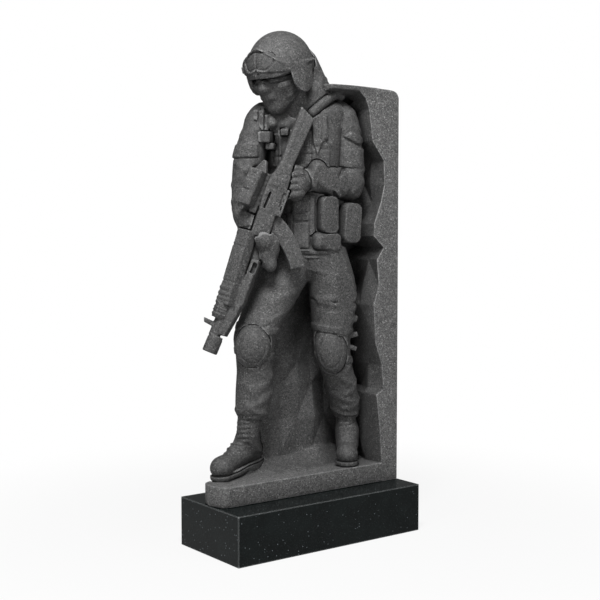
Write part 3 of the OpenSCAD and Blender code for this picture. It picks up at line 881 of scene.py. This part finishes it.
# %% Face under a drawn-up cloth
skull = Place(HEAD, (BOW, 0, -LOOK), figure)
face = lump(skull, (-100, -130, -150), (100, 110, 80))
EYE, NOSE, MOUTH, CHIN = 2, -34, -58, -92
face.add(egg((0, -4, -6), (73, 88, 84)))
face.add(egg((0, -40, -50), (52, 50, 58)), 20)
face.add(egg((0, -66, CHIN), (25, 24, 20)), 22)
face.add(egg((0, -88, EYE + 20), (46, 10, 9)), 8)
for side in (-1, 1):
    face.cut(egg((side * 26, -94, EYE), (17, 12, 11)), 8)
    face.add(ball((side * 26, -77, EYE - 1), 13), 3)
    face.crease(chain([(side * 12, -90, EYE - 5), (side * 26, -93, EYE - 8), (side * 40, -84, EYE - 4)],
                      0), -2.5, 2.5)
    face.add(egg((side * 40, -66, -26), (18, 18, 15)), 12)
face.add(limb((0, -88, EYE + 12), (0, -106, NOSE + 6), 7, 11), 9)
for side in (-1, 1):
    face.add(ball((side * 9, -98, NOSE + 4), 8), 6)
face.add(egg((0, -90, MOUTH), (24, 10, 8)), 8)


def under_cloth(x, y, z):
    """Below the cloth's upper edge, which rises over the nose."""
    edge = -16 + 16 * np.exp(-(x / 15) ** 2) - 0.02 * np.abs(x)
    return np.maximum(z - edge, -z - 140)


cloth = Shape((-90, -125, -140), (90, 60, 4), under_cloth)
face.press(cloth, 4, 3)
for line, height in (
    ([(-60, -60, -26), (-20, -94, -40), (4, -104, -44)], 3),
    ([(60, -60, -30), (24, -92, -46), (-4, -102, -50)], 3),
    ([(-56, -50, -56), (-14, -84, -76), (20, -84, -80)], 3),
    ([(58, -44, -62), (30, -78, -72), (2, -88, -72)], 3),
    ([(52, -36, -80), (30, -62, -96), (0, -76, -104)], 3), ([(-50, -36, -84), (-26, -64, -98),
                                                             (0, -74, -98)], 3),
    ([(62, -30, -44), (46, -66, -44), (30, -86, -38)], 2.5),
):
    face.crease(chain(line, 0), height, 5)
face.add(chain([(0, -4, -128), (0, -2, -90), (0, 4, -60)], [42, 46, 54]), 10)
stone.join(face.clay, 2)
print("face", round(108 - CHIN), "mm from crown to chin")

# %% Helmet
GOGGLE_TOP, GOGGLE_SPREAD = 94, 60
STRAP_TOP, STRAP_FOOT, NAPE_FOOT = 40, 28, -14
TOP_FALL, FOOT_FALL = 0.18, 0.38
VISOR_RIGHT, VISOR_LEFT, VISOR_LIP = -88, 66, 12
COVER_X, STRAP_DEPTH, GOGGLE_DEPTH = 88, 4, 9


def from_front(x, y):
    """Degrees round the head from the middle of the forehead, the same on both sides."""
    return np.degrees(np.arctan2(np.abs(x), -y))


def rim(x, y):
    """Height of the goggles' upper edge, which runs down into the strap's upper edge."""
    strap = STRAP_TOP - TOP_FALL * from_front(x, y)
    return strap + (GOGGLE_TOP - STRAP_TOP) * smooth(1 - from_front(x, y) / GOGGLE_SPREAD)


def foot(x, y):
    """Height of the strap's lower edge, which drops towards the nape."""
    return np.maximum(STRAP_FOOT - FOOT_FALL * from_front(x, y), NAPE_FOOT)


helmet = lump(skull, (-125, -150, -100), (125, 140, 140))
helmet.add(egg((0, 0, 18), (93, 112, 103)))
helmet.cut(block((0, 0, -64), (300, 300, 120), (-8.5, 0, 0), 2))
strap_shape = Shape((-120, -140, -40), (120, 140, 110),
                    lambda x, y, z: np.maximum(z - rim(x, y), foot(x, y) - z))
helmet.press(strap_shape, STRAP_DEPTH, 3)
visor = Shape((-110, -150, -20), (90, 10, 120),
              lambda x, y, z: np.maximum(z - rim(x, y) - VISOR_LIP,
                                         np.maximum(x - VISOR_LEFT, VISOR_RIGHT - x)))
helmet.press(visor, GOGGLE_DEPTH, 30)
for edge, front, height, width in ((rim, -150, 5, 3.5), (foot, -75, -3, 2.5)):
    line = Shape((-120, front, -40), (120, 140, 110), lambda x, y, z: np.abs(z - edge(x, y)))
    helmet.crease(line, height, width)
helmet.cut(egg((0, -12, -30), (80, 94, 62)), 3)
helmet.add(block((0, 111, 14), (44, 10, 30), (8, 0, 0), 3), 2)
half_round = [math.pi * k / 8 for k in range(9)]
cover = [(28, 8)] + [(-15 + 43 * math.cos(a), -10 - 56 * math.sin(a)) for a in half_round] + [(-58, 8)]
for side in (-1, 1):
    helmet.add(slab(cover, 17, (side * COVER_X, 0, 0), (0, 0, 90), 3), 2)
    helmet.add(block((side * 96, -52, 26), (8, 26, 22), (0, 0, side * 26), 3), 2)
    helmet.add(drum((side * 95, 10, 22), 6, 10, (0, 90, 0), 2), 1)
print("helmet", 2 * 95, "mm wide")

# %% Goggles
LENS_W, LENS_H, LENS_Z, NOSE_Z = 108, 60, 54, 36
lens = [(3 + LENS_W / 2 * math.cos(a), LENS_Z + LENS_H / 2 * math.sin(a))
        for a in (math.radians(20 * k - 60) for k in range(16))] + [(0, NOSE_Z)]
helmet.press(patch(lens, -170, -50), -4, 3)
helmet.crease(stroke(lens + lens[:1], -170, -50), -3, 2.2)
helmet.crease(stroke([(0, 36), (0, 82)], -170, -50), -3, 2)
helmet.cut(slab([(-9, 18), (0, 38), (9, 18)], 24, (0, -128, 0)), 2)
stone.join(helmet.clay, 0, 4, 10)
print("goggles on")

# %% [markdown]
# ## The rifle
#
# The rifle hangs across the body, so its place has z running back up from the muzzle and x
# towards the magazine. Its parts are outlines cut from boards, drums and eased blocks, which
# keeps the edges crisp against the soft cloth.

# %% Rifle
BUTT = (28, -92, 1114)
rifle_place = Place(BUTT, (-6, 22.4, 0), figure)
rifle = lump(rifle_place, (-125, -60, -812), (190, 60, 24))
STOCK = [(-30, 5), (22, -16), (19, -92), (16, -190), (-24, -190), (-27, -92)]
RECEIVER = [(-24, -176), (16, -176), (24, -214), (28, -258), (30, -318), (24, -338), (30, -412),
            (-26, -412),
            (-30, -338), (-37, -300), (-37, -226), (-28, -206)]
rifle.add(slab(STOCK, 30, (0, 0, 0), (0, 0, 10), 5))
rifle.add(slab(RECEIVER, 38, (0, 0, 0), (0, 0, 8), 4), 3)
rifle.crease(chain([(-12, -17, -6), (-11, -17, -90), (-8, -18, -186)], 0), 2, 4)
rifle.cut(block((-15, -22, -299), (7, 26, 54), (0, 0, 0), 1))
rifle.cut(block((27, -24, -282), (8, 28, 46), (0, -3, 0), 1))
rifle.add(block((36, -4, -286), (7, 16, 80), (0, -3, 0), 2))
rifle.add(block((34, -8, -324), (14, 22, 18), (0, 0, 0), 3), 1)
rifle.crease(block((0, 0, -336), (90, 60, 0.5)), -1.5, 2.5)
rifle.press(slab([(-24, -222), (14, -222), (18, -252), (-28, -252)], 20, (0, -20, 0), (0, 0, 8)), 2.5, 3)
print("stock and receiver")

# %% Sight
box = lump(rifle_place, (-130, -70, -360), (-20, 30, -170))
sight = box.at((-73, -20, 0), (0, 0, -24))
sight.add(slab([(-21, -340), (22, -336), (22, -226), (8, -190), (-2, -189), (-20, -226)], 46, (0, 0, 0),
               easing=1.5))
sight.cut(slab([(-30, -180), (34, -180), (34, -226), (-24, -226)], 40, (0, -14, 0), easing=1))
sight.press(slab([(-15, -262), (8, -262), (8, -294), (-15, -294)], 20, (0, -24, 0)), 3, 2)
sight.crease(chain([(-15, -24, -262), (8, -24, -262), (8, -24, -294), (-16, -24, -295)], 0), -6, 2.2)
for z in (-242, -251):
    sight.crease(chain([(-13, -24, z), (9, -24, z)], 0), -6, 2)
sight.cut(block((26, -24, -280), (10, 12, 150), (0, 0, 30), 0.5))
stone.join(box.clay, 0, 16, 40)
rifle.add(block((-44, 0, -286), (22, 22, 128), (0, 0, 0), 3))
for k in range(7):
    rifle.crease(block((-44, 0, -232 - 16 * k), (30, 40, 0.5)), -1.5, 2.4)
print("sight on its rail")

# %% Handguard, barrel and second tube
guard = rifle.at((-36, -3, -406), (0, -6, 0))
SECTION = [(-30, 4), (6, 29), (31, 8), (31, -22), (-30, -22)]
guard.add(slab(SECTION, 236, (0, 0, -118), (90, 0, 0), 3))
for z in (-20, -27, -34, -41):
    guard.crease(block((-14, 0, z), (40, 80, 0.5)), -1.6, 2)
guard.crease(block((-14, 0, -52), (44, 80, 0.5)), -2.5, 2)
guard.crease(block((-14, 0, -164), (44, 80, 0.5)), -2.5, 2)
for z in (-186, -203, -219, -231):
    guard.crease(block((-16, 0, z), (38, 80, 4)), 3, 3)
guard.crease(chain([(18, -25, -60), (18, -25, -160)], 0), -2, 3)
guard.crease(chain([(22, -20, -168), (22, -20, -232)], 0), -2.5, 2.5)
rifle.add(slab([(-39, -640), (-3, -640), (-3, -686), (-36, -686)], 36, (0, 0, 0), (0, 0, 20), 4), 1)
for z in (-655, -664, -675):
    rifle.crease(block((-22, 0, z), (46, 60, 0.5)), 3, 3)
rifle.add(slab([(-58, -698), (-52, -712), (-12, -716), (-12, -700)], 12, (0, -4, 0), (0, 0, 0), 3), 2)
rifle.add(drum((-8, 0, -708), 18, 70), 2)
rifle.add(drum((-2, 0, -764), 23.5, 54, easing=3), 2)
rifle.crease(drum((-2, 0, -742), 23.5, 1), -2, 2.5)
rifle.cut(drum((-2, 0, -792), 9, 16))
rifle.add(slab([(-6, -628), (38, -628), (38, -652), (27, -728), (6, -731)], 34, (0, 2, 0), (0, 0, -18), 3),
          1)
rifle.add(slab([(13, -482), (36, -478), (43, -620), (32, -644), (14, -652)], 36, (0, 4, 0), (0, 0, -14),
               4), 1)
rifle.add(slab([(-40, -420), (30, -420), (36, -640), (-30, -640)], 18, (0, 16, 0)), 1)
rifle.cut(block((25, -22, -506), (14, 34, 34), (0, 0, 0), 2))
rifle.crease(block((30, 0, -528), (40, 60, 0.5)), -2, 2.5)
rifle.crease(chain([(14, -18, -520), (14, -18, -650)], 0), -5, 3)
print("handguard and barrel")


# %% Curved magazine
def bend(t):
    """Middle of the magazine along its curve, and the half width there."""
    start, knee, end = (8, -350), (88, -368), (148, -452)
    keep = (1 - t) ** 2, 2 * t * (1 - t), t * t
    x, z = (sum(k * p[i] for k, p in zip(keep, (start, knee, end))) for i in (0, 1))
    across = [(1 - t) * (b - a) + t * (c - b) for a, b, c in zip(start, knee, end)]
    size = math.hypot(*across)
    half = 30 - 8 * t
    return (x, z), (-across[1] / size * half, across[0] / size * half)


upper, lower = [], []
for k in range(9):
    (x, z), (dx, dz) = bend(k / 8)
    upper.append((x + dx, z + dz))
    lower.append((x - dx, z - dz))
rifle.add(slab(upper + lower[::-1], 26, (0, 10, 0), (0, 0, 6), 3))
rifle.crease(stroke([bend(k / 6)[0] for k in range(1, 7)], -40, 40), -1.5, 3)
stone.join(rifle.clay, 0, 5, 16)
stone.join(box.clay)
print("magazine with", len(upper) + len(lower), "outline points")

# %% [markdown]
# ## From clay to one mesh
#
# The saw cuts come last: nothing stands proud of the raw block's faces. Then the clay's surface
# becomes one mesh, which the Decimate modifier thins where the surface is flat, and edges
# sharper than a set angle are kept crisp. Each vertex carries a tone: sawn stone is palest, hewn
# stone darker and the figure darkest, partly from the tooled skin and partly as painted shade of
# the niche.

# %% Trim to the raw block
saw = np.maximum(np.maximum(BLOCK_FRONT - Y, Y - BLOCK_BACK), X - BLOCK_RIGHT)
stone.field[:] = np.maximum(stone.field, saw)
stone.field[:] = np.maximum(stone.field, -Z - PLATE)
del saw

# %% Build the mesh
FACE_LIMIT = 196000
SHARP = 34
SKIN, PILLAR_LEFT = 1, 205
# Stone tones: sawn faces palest, hewn niche darker, figure darkest; partly the tooled skin's tone and
# partly painted shade of the niche
SAWN_TONE, HEWN_TONE_AND_SHADE, CARVED_TONE_AND_SHADE = 1.0, 0.14, 0.0


def mesh_of(clay, name):
    grid = openvdb.FloatGrid(AIR)
    grid.copyFromArray(np.clip(clay.field, -AIR, AIR))
    points, _, quads = grid.convertToPolygons(isovalue=0.0, adaptivity=0.0)
    points = (points + clay.first) * GRID * MM
    mesh = bpy.data.meshes.new(name)
    mesh.vertices.add(len(points))
    mesh.vertices.foreach_set("co", points.astype(np.float32).ravel())
    mesh.loops.add(quads.size)
    mesh.loops.foreach_set("vertex_index", quads[:, ::-1].astype(np.int32).ravel())
    mesh.polygons.add(len(quads))
    mesh.polygons.foreach_set("loop_start", np.arange(0, quads.size, 4, dtype=np.int32))
    mesh.update(calc_edges=True)
    return mesh


raw = bpy.data.objects.new("raw_stone", mesh_of(stone, "raw_stone"))
bpy.context.scene.collection.objects.link(raw)
thin = raw.modifiers.new("thin", "DECIMATE")
thin.ratio = FACE_LIMIT / (2 * len(raw.data.polygons))
thin.use_collapse_triangulate = True
evaluated = raw.evaluated_get(bpy.context.evaluated_depsgraph_get())
carved_mesh = bpy.data.meshes.new_from_object(evaluated)
print("clay surface", len(raw.data.polygons), "quads, thinned to", len(carved_mesh.polygons), "triangles")
bpy.data.objects.remove(raw)
corners = np.empty(3 * len(carved_mesh.vertices), np.float32)
carved_mesh.vertices.foreach_get("co", corners)
corners = np.clip(corners.reshape(-1, 3), block_low * MM, block_high * MM)
nearest = np.rint(corners / MM / GRID).astype(int) - stone.first
hewn = hewn_gap[tuple(np.clip(nearest, 0, stone.count - 1).T)] < 3 * GRID
x, y, z = (corners / MM).T
pillar_face = (y < BLOCK_FRONT + SKIN) & (x > PILLAR_LEFT)
plate_skin = z < PLATE_TOP + SKIN
sawn = pillar_face | plate_skin | (y > BLOCK_BACK - SKIN) | (x > BLOCK_RIGHT - PILLAR_CORNER)
# Per-vertex tone, partly the tooled skin and partly painted shade of the niche and the figure in it
finish = np.where(sawn, SAWN_TONE, np.where(hewn, HEWN_TONE_AND_SHADE, CARVED_TONE_AND_SHADE)).astype(np.float32)
carved_mesh.attributes.new("tooling_and_niche_shade", "FLOAT", "POINT").data.foreach_set("value", finish)
carved_mesh.vertices.foreach_set("co", corners.astype(np.float32).ravel())
carved_mesh.update()

# %% Make the carved stone
carved = bpy.data.objects.new("carved_stone_detail", carved_mesh)
bpy.context.scene.collection.objects.link(carved)
carved_mesh.shade_smooth()
carved_mesh.set_sharp_from_angle(angle=math.radians(SHARP))
volume = sum(
    Vector(carved_mesh.vertices[t.vertices[0]].co).dot(
        Vector(carved_mesh.vertices[t.vertices[1]].co).cross(carved_mesh.vertices[t.vertices[2]].co)
    ) for t in carved_mesh.polygons) / 6
print("carved stone", round(volume * 1000, 1), "litres")
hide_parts("carved_stone")
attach(carved, "root")

# %% [markdown]
# ## Materials
#
# Shader maths reads better as an expression, so one small class wraps a socket: `a * 2 + b` adds
# the Math nodes. Colours are mixed, never put through a Math node, which would turn them grey.

# %% Socket maths
class Socket:
    def __init__(self, tree, socket):
        self.tree = tree
        self.socket = socket

    def math(self, operation, other=None, swap=False):
        pair = [self, other] if other is not None else [self]
        values = pair[::-1] if swap else pair
        return self.tree.node("ShaderNodeMath", {"operation": operation}, values)[0]

    def __add__(self, other):
        return self.math("ADD", other)

    def __sub__(self, other):
        return self.math("SUBTRACT", other)

    def __rsub__(self, other):
        return self.math("SUBTRACT", other, swap=True)

    def __mul__(self, other):
        return self.math("MULTIPLY", other)

    __radd__ = __add__
    __rmul__ = __mul__

    def step(self, low, high):
        """0 below low, 1 above high, smooth between. With low above high it runs the other way."""
        node = self.tree.node("ShaderNodeMapRange", {"interpolation_type": "SMOOTHSTEP"},
                              {"Value": self, "From Min": low, "From Max": high})
        return node[0]


class Finish:
    """A material whose nodes are made by one method."""

    def __init__(self, name):
        self.material = bpy.data.materials.new(name)
        self.material.use_nodes = True
        self.nodes = self.material.node_tree.nodes
        self.links = self.material.node_tree.links
        self.shader = self.nodes["Principled BSDF"]
        self.place = self.node("ShaderNodeTexCoord", {}, {})[3]

    def fill(self, socket, value):
        if isinstance(value, Socket):
            self.links.new(value.socket, socket)
        else:
            socket.default_value = value

    def node(self, kind, settings, values):
        """Adds a node: its settings first, then its sockets by name or in order."""
        node = self.nodes.new(kind)
        for name, value in settings.items():
            setattr(node, name, value)
        named = values.items() if isinstance(values, dict) else enumerate(values)
        for key, value in named:
            self.fill(node.inputs[key], value)
        return [Socket(self, out) for out in node.outputs]

    def noise(self, scale, detail=2.0, rough=0.5):
        return self.node("ShaderNodeTexNoise", {}, {"Vector": self.place, "Scale": scale, "Detail": detail,
                                                    "Roughness": rough})[0]

    def grains(self, scale, offset=0.0):
        """Crystals: one random number and one distance for each cell."""
        place = self.node("ShaderNodeVectorMath", {"operation": "ADD"}, [self.place, (offset,) * 3])[0]
        cell = self.node("ShaderNodeTexVoronoi", {}, {"Vector": place, "Scale": scale})
        random = self.node("ShaderNodeSeparateColor", {}, [cell[1]])[0]
        return random, cell[0]

    def mix(self, share, a, b):
        return self.node("ShaderNodeMix", {"data_type": "RGBA"}, {0: share, 6: a, 7: b})[2]

    def crevice(self, reach, inside):
        """1 in the open and 0 in a hollow; measured inside the stone, 0 at an edge."""
        return self.node("ShaderNodeAmbientOcclusion", {"inside": inside, "samples": 8},
                         {"Distance": reach})[1]

    def bump(self, height, strength, distance):
        return self.node("ShaderNodeBump", {}, {"Strength": strength, "Distance": distance,
                                                "Height": height})[0]

    def finish(self, **sockets):
        for name, value in sockets.items():
            self.fill(self.shader.inputs[name.replace("_", " ")], value)
        return self.material


def grey(level, warm=0.0):
    return (level * (1 + warm), level, level * (1 - warm), 1)


# %% [markdown]
# Grey granite is a pack of crystals two to five millimetres across: dark mica, grey quartz and
# pale feldspar. Cell noise gives each crystal one tone. The carver's bushing hammer leaves fine
# pits, which go into the bump. Ambient Occlusion paints shade into the hollows and, more broadly,
# over the niche, and measured inside the stone it finds the edges, which get a painted highlight.
# Stone inside the niche is scaled darker as well: partly the tooled skin's tone and partly
# painted shade of the niche.

# %% Grey granite
granite = Finish("grey_granite")
feldspar, feldspar_edge = granite.grains(290)
mica, mica_edge = granite.grains(370, 3.7)
cloud = granite.noise(9, 3)
tone = granite.mix(feldspar.step(0.1, 0.9), grey(0.058), grey(0.132, 0.01))
tone = granite.mix(mica.step(0.76, 0.86), tone, grey(0.026, -0.01))
tone = granite.mix(feldspar.step(0.92, 0.97) * mica_edge.step(0.7, 0.2), tone, grey(0.34))
tone = granite.mix(cloud.step(0.3, 0.75) * 0.3, tone, grey(0.075))
hollow = granite.crevice(0.016, False).step(0.30, 0.85)
shade = granite.crevice(0.220, False).step(0.15, 0.90)
edge_highlight = granite.crevice(0.006, True).step(0.86, 0.50)
# Painted shade: small hollows and creases are darkened, and the whole niche more broadly
tone = granite.mix(0.85 - hollow * 0.85, tone, grey(0.012))
tone = granite.mix(0.60 - shade * 0.60, tone, grey(0.020))
# Painted highlight: convex edges and arrises are lightened
tone = granite.mix(edge_highlight * 0.65, tone, grey(0.34))
# Painted shade of the niche, partly the tooled skin's tone: stone inside the niche is scaled darker
tooling_and_niche_shade = granite.node("ShaderNodeAttribute", {"attribute_name": "tooling_and_niche_shade"}, {})[2]
worked_tone_and_shade = 0.52 + tooling_and_niche_shade * 0.48
tone = granite.node("ShaderNodeVectorMath", {"operation": "SCALE"}, {0: tone, "Scale": worked_tone_and_shade})[0]
pits = granite.noise(420, 2, 0.6)
waves = granite.noise(60, 2)
rough_skin = pits * 0.6 + feldspar_edge * 0.5 + waves * 0.5
granite.finish(
    Base_Color=tone,
    Roughness=0.62 + granite.noise(300, 1) * 0.2,
    Normal=granite.bump(rough_skin, 0.5, 0.0018),
)
carved_mesh.materials.clear()
carved_mesh.materials.append(granite.material)
print("grey granite with", len(granite.nodes), "nodes")

# %% [markdown]
# The plinth is a black granite, sawn and polished to a mirror. It shows a few small bright
# flecks of mica and a slightly uneven depth of black. Its arrises were only honed, so they
# read as thin grey lines.

# %% Black granite
black = Finish("black_granite")
fleck, fleck_edge = black.grains(260)
dust, _ = black.grains(620, 5.1)
base = black.mix(black.noise(14, 3).step(0.3, 0.8), (0.0022, 0.0036, 0.0036, 1), (0.005, 0.0074, 0.0074, 1))
base = black.mix(dust.step(0.92, 0.97) * 0.4, base, (0.03, 0.036, 0.036, 1))
base = black.mix(fleck.step(0.975, 0.99) * fleck_edge.step(0.5, 0.2), base, (0.14, 0.16, 0.17, 1))
arris = black.crevice(0.006, True).step(0.88, 0.50)
base = black.mix(arris * 0.8, base, (0.20, 0.21, 0.21, 1))
black.finish(
    Base_Color=base,
    Roughness=0.10 + black.noise(120, 2) * 0.05 + arris * 0.4,
    Specular_IOR_Level=0.12,
    Normal=black.bump(black.noise(500, 2), 0.06, 0.0004),
)
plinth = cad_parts["plinth"]
plinth.data.materials.clear()
plinth.data.materials.append(black.material)
print("black granite with", len(black.nodes), "nodes")

# %% [markdown]
# ## Floor, light and camera
#
# The floor is a pale sheet and the light is a soft studio one: a big lamp in front and above, a
# weaker ones from the left and the front and the white room round about. The background is
# white to the camera only, so it doesn't flood the stone with light, and the floor is lightened
# for the camera too but keeps the stone's shadow.

# %% Floor
bpy.ops.mesh.primitive_plane_add(size=30, location=(0, 0, 0))
floor = bpy.context.object
floor.name = "floor"
paper = Finish("floor_paper")
paper.nodes.remove(paper.shader)
rays = paper.node("ShaderNodeLightPath", {}, {})
away = paper.node("ShaderNodeVectorMath", {"operation": "LENGTH"}, [paper.place])[1].step(0.5, 1.8)
seen = rays[0] * (0.86 + away * 0.14)
white = paper.node("ShaderNodeEmission", {}, {"Color": (1, 1, 1, 1), "Strength": 1.0})[0]
matte = paper.node("ShaderNodeBsdfDiffuse", {}, {"Color": (0.55, 0.55, 0.55, 1)})[0]
blend = paper.node("ShaderNodeMixShader", {}, [seen, matte, white])[0]
paper.links.new(blend.socket, paper.nodes["Material Output"].inputs["Surface"])
floor.data.materials.append(paper.material)

# %% World
world = bpy.data.worlds.new("studio")
bpy.context.scene.world = world
world.use_nodes = True
sky = world.node_tree
background = sky.nodes["Background"]
background.inputs["Color"].default_value = (1, 1, 1, 1)
background.inputs["Strength"].default_value = 0.14
plain = sky.nodes.new("ShaderNodeBackground")
plain.inputs["Color"].default_value = (1, 1, 1, 1)
plain.inputs["Strength"].default_value = 1.0
path = sky.nodes.new("ShaderNodeLightPath")
looked_at = sky.nodes.new("ShaderNodeMath")
looked_at.operation = "MAXIMUM"
choose = sky.nodes.new("ShaderNodeMixShader")
sky.links.new(path.outputs["Is Camera Ray"], looked_at.inputs[0])
sky.links.new(path.outputs["Is Transmission Ray"], looked_at.inputs[1])
sky.links.new(looked_at.outputs[0], choose.inputs[0])
sky.links.new(background.outputs[0], choose.inputs[1])
sky.links.new(plain.outputs[0], choose.inputs[2])
sky.links.new(choose.outputs[0], sky.nodes["World Output"].inputs["Surface"])


# %% Lamps
def lamp(name, place, aim, size, power):
    data = bpy.data.lights.new(name, "AREA")
    data.size = size
    data.energy = power
    obj = bpy.data.objects.new(name, data)
    obj.location = place
    obj.rotation_euler = (Vector(aim) - Vector(place)).to_track_quat("-Z", "Y").to_euler()
    bpy.context.scene.collection.objects.link(obj)


MIDDLE = (0, 0.05, 0.85)
lamp("key", (-1.3, -1.45, 3.7), MIDDLE, 0.9, 185)
lamp("left_fill", (-3.2, -1.6, 1.6), MIDDLE, 1.4, 36)
lamp("front_fill", (0.8, -3.4, 2.2), MIDDLE, 1.4, 31)

# %% Camera
FOCAL, SENSOR = 69.59, 36
YAW, PITCH = math.radians(36.93), math.radians(3.88)
camera_data = bpy.data.cameras.new("camera")
camera_data.lens = FOCAL
camera_data.sensor_width = SENSOR
camera = bpy.data.objects.new("camera", camera_data)
camera.location = (-2.1712, -2.8742, 0.9941)
forward = Vector((math.sin(YAW) * math.cos(PITCH), math.cos(YAW) * math.cos(PITCH), -math.sin(PITCH)))
camera.rotation_euler = forward.to_track_quat("-Z", "Y").to_euler()
bpy.context.scene.collection.objects.link(camera)
bpy.context.scene.camera = camera
bpy.context.scene.view_settings.view_transform = "Standard"
